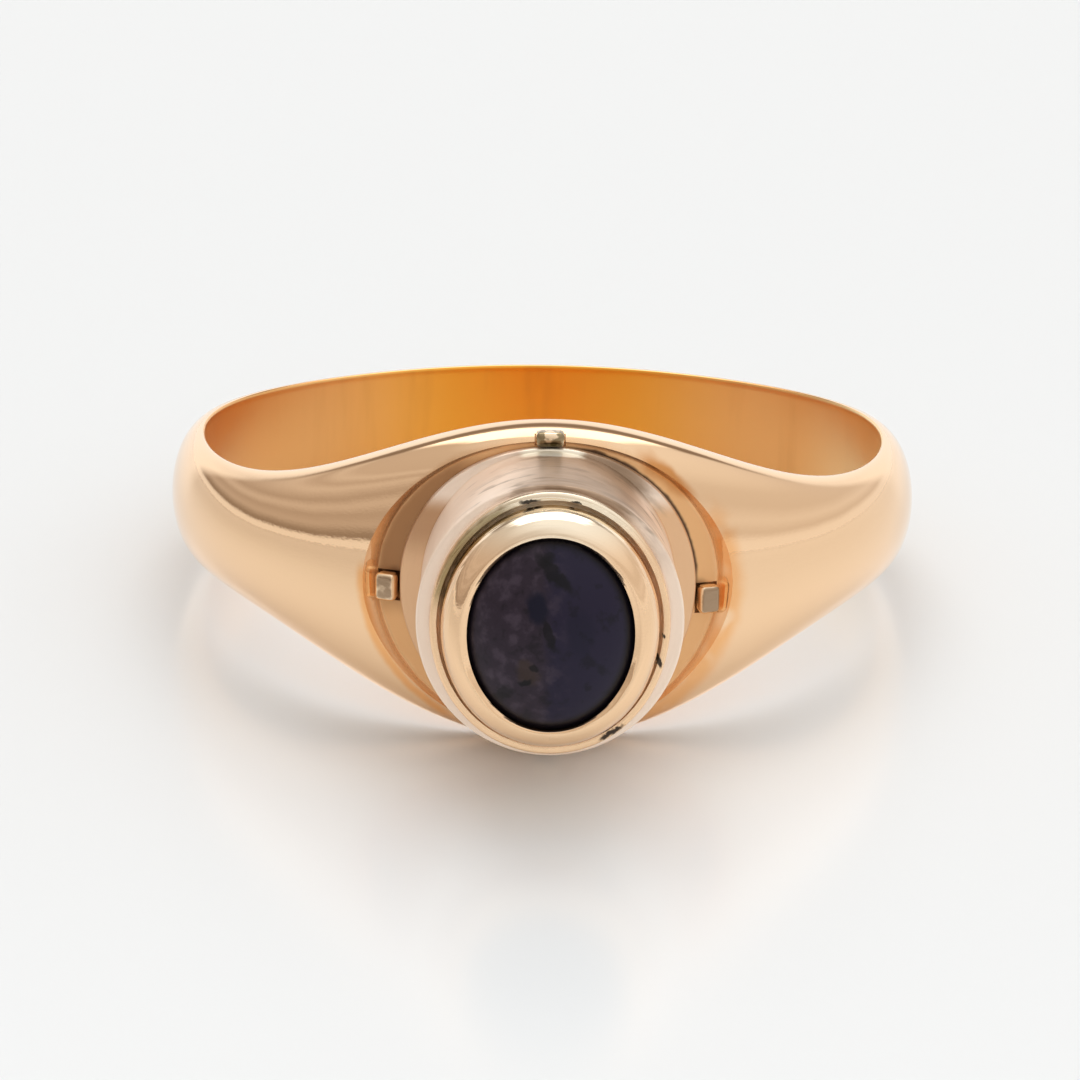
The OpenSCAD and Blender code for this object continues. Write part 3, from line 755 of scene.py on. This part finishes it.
# A dark painted shadow lies on it where it meets the foot
under_top = reach_of(tree, uneven, (UNEVEN_MM/2, -stud_top_r, foot_h/2 + 0.09),
                     (0.42, 0.5, 0.16))
stain(tree, shader, BLACK_PAINTED_SHADOW, 0.9, (under_top, 1, 0.7))
stud_bevel, BEVEL_STEPS, STUD_SHARP_ANGLE = 0.13, 4, 60
stud_depth = stud_rise + socket - gap
for node_name, (angle, z, width, height) in stud_places.items():
    bpy.ops.object.select_all(action="DESELECT")
    bpy.ops.mesh.primitive_cube_add(size=1)
    stud = name_piece(node_name.replace("stud", "gold_stud"))
    stud.data.transform(Matrix.Rotation(angle, 4, "Z")
                        @ Matrix.Translation((0, -(stud_top_r - stud_depth/2), z))
                        @ Matrix.Diagonal((width, stud_depth, height, 1)))
    apply_modifier(stud, "BEVEL", width=stud_bevel, segments=BEVEL_STEPS, limit_method="NONE")
    finish_mesh(stud, STUD_SHARP_ANGLE)
    stud.data.materials.append(stud_gold)
    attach(stud, "root")
    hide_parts(node_name)

# The table: a sheet of smooth white paper that the ring lies on, wide enough to fill the
# view and the ring's reflections
FLOOR_SIZE_M, PAPER = 3.0, "f4f8fa"
bpy.ops.object.select_all(action="DESELECT")
bpy.ops.mesh.primitive_plane_add(size=FLOOR_SIZE_M)
floor = name_piece("floor")
paper = bpy.data.materials.new("white paper")
paper.use_nodes = True
shader = paper.node_tree.nodes["Principled BSDF"]
shader.inputs["Base Color"].default_value = linear(PAPER)
shader.inputs["Roughness"].default_value = 0.2
shader.inputs["Specular IOR Level"].default_value = 1
floor.data.materials.append(paper)

# The light: a white tent. Its brightness against height over the table, in degrees, on
# its two sides and at the back: a dark slot where the table ends, folds in the cloth of
# the left side, and at the back the bright sweep of the table under a shaded opening.
LEFT_SIDE = [(-14, 0.98), (-3, 0.95), (2.6, 0.93), (3.2, 0.3), (4.5, 0.34), (7.5, 0.58),
             (10.5, 0.5), (13, 0.68), (15.5, 0.5), (20, 0.72), (22.5, 0.58), (25.5, 0.74),
             (28, 0.64), (50, 0.68), (65, 0.85), (80, 1)]
RIGHT_SIDE = [(-3, 1), (3, 0.97), (5.5, 0.75), (9, 0.87), (13, 0.76), (18, 0.78), (22, 0.85),
              (27, 0.9), (40, 0.95), (70, 1)]
BACK = [(0, 1.15), (12, 1.15), (16, 1), (19, 0.34), (25, 0.26), (29, 0.45), (33, 0.9), (48, 1)]
# Shaded cloth is warmer: it loses these shares of its green and blue
SHADE_GREEN, SHADE_BLUE = 0.25, 0.45
world = bpy.data.worlds.new("white tent")
world.use_nodes = True
tree = world.node_tree
direction = add_node(tree, "ShaderNodeTexCoord").outputs["Generated"]
to_right, to_back, to_top = add_node(tree, "ShaderNodeSeparateXYZ", {"Vector": direction}).outputs
height = add_node(tree, "ShaderNodeMath", {0: to_top}, operation="ARCSINE").outputs[0]
height_share = add_node(tree, "ShaderNodeMapRange", {
    "Value": height, "From Min": -math.pi/2, "From Max": math.pi/2}).outputs[0]


def tent_side(stops):
    """One side's colour over height, from its heights in degrees and their brightness."""
    node = add_node(tree, "ShaderNodeValToRGB", {"Fac": height_share})
    for i, (degrees, bright) in enumerate(stops):
        place = (degrees + 90)/180
        # A new ramp has two stops already
        stop = node.color_ramp.elements[i] if i < 2 else node.color_ramp.elements.new(place)
        stop.position = place
        shade = max(1 - bright, 0)
        stop.color = (bright, bright*(1 - SHADE_GREEN*shade), bright*(1 - SHADE_BLUE*shade), 1)
    return node.outputs["Color"]


# The sides meet in the middle of the front, and the back hangs in a narrow part between them
SIDES_MEET = -0.35, 0.35
BACK_FADES = 0.76, 0.86
sides = add_node(tree, "ShaderNodeMix", {
    0: mask_of(tree, 1, (to_right, *SIDES_MEET)), 6: tent_side(LEFT_SIDE),
    7: tent_side(RIGHT_SIDE)}, data_type="RGBA").outputs[2]
level_way = add_node(tree, "ShaderNodeVectorMath", {
    0: direction, 1: (1, 1, 0)}, operation="MULTIPLY").outputs[0]
level_way = add_node(tree, "ShaderNodeVectorMath", {
    0: level_way}, operation="NORMALIZE").outputs[0]
facing_back = add_node(tree, "ShaderNodeSeparateXYZ", {"Vector": level_way}).outputs["Y"]
tent = add_node(tree, "ShaderNodeMix", {
    0: mask_of(tree, 1, (facing_back, *BACK_FADES)), 6: sides, 7: tent_side(BACK)},
    data_type="RGBA").outputs[2]
# The lamp: a wide softbox high behind the ring, between two heights in degrees
LAMP = 2.2
LAMP_FOOT, LAMP_HEAD, LAMP_SIDE = (31, 35), (71, 65), (0.5, 0.36)
over_back = add_node(tree, "ShaderNodeMath", {
    0: to_top, 1: to_back}, operation="ARCTAN2").outputs[0]
aside = add_node(tree, "ShaderNodeMath", {0: to_right}, operation="ABSOLUTE").outputs[0]
in_lamp = mask_of(tree, 1, (over_back, *map(math.radians, LAMP_FOOT)),
                  (over_back, *map(math.radians, LAMP_HEAD)), (aside, *LAMP_SIDE))
lit_tent = add_node(tree, "ShaderNodeMix", {
    0: in_lamp, 6: tent, 7: (LAMP, LAMP, LAMP, 1)}, data_type="RGBA").outputs[2]
tree.links.new(lit_tent, tree.nodes["Background"].inputs["Color"])
bpy.context.scene.world = world

# A soft light high behind the ring lifts the paper without showing in the gold, and lets
# it fall off a little towards the front
LIFT_W, LIFT_SIZE_M, LIFT_PLACE_M = 0.35, 0.4, (0, 0.2, 0.45)
lift_data = bpy.data.lights.new("lift", "AREA")
lift_data.energy, lift_data.size = LIFT_W, LIFT_SIZE_M
lift = bpy.data.objects.new("lift", lift_data)
lift.location = LIFT_PLACE_M
lift.rotation_euler = Vector(LIFT_PLACE_M).to_track_quat("Z", "Y").to_euler()
lift.visible_glossy = False
bpy.context.scene.collection.objects.link(lift)

# The camera: it looks at the ring's centre from the front, a little from above, with the
# photograph's framing. Pixels are those of its 1080 pixel square.
VIEW_TURN, VIEW_RISE, VIEW_ROLL = math.radians(-1.05), math.radians(14.6), math.radians(0.8)
VIEW_DISTANCE_MM, PIXELS_PER_MM = 289.5, 37.49
PHOTO_PIXELS, CENTRE_X, CENTRE_Y = 1080, 542.2, 490.8
back = Vector((math.sin(VIEW_TURN)*math.cos(VIEW_RISE), -math.cos(VIEW_TURN)*math.cos(VIEW_RISE),
               math.sin(VIEW_RISE)))
level = Vector((math.cos(VIEW_TURN), math.sin(VIEW_TURN), 0))
upright = back.cross(level)
right = math.cos(VIEW_ROLL)*level + math.sin(VIEW_ROLL)*upright
up = math.cos(VIEW_ROLL)*upright - math.sin(VIEW_ROLL)*level
stand = (back*VIEW_DISTANCE_MM - right*(CENTRE_X - PHOTO_PIXELS/2)/PIXELS_PER_MM
         + up*(CENTRE_Y - PHOTO_PIXELS/2)/PIXELS_PER_MM)
camera_data = bpy.data.cameras.new("camera")
camera_data.sensor_width = 36
camera_data.lens = camera_data.sensor_width*PIXELS_PER_MM*VIEW_DISTANCE_MM/PHOTO_PIXELS
camera_data.clip_start, camera_data.clip_end = 0.01, 10
camera = bpy.data.objects.new("camera", camera_data)
bpy.context.scene.collection.objects.link(camera)
aim = Matrix((right, up, back)).transposed().to_4x4()
camera.matrix_world = ring_turn @ Matrix.Translation(stand*MM) @ aim
bpy.context.scene.camera = camera
bpy.context.scene.view_settings.view_transform = "Standard"
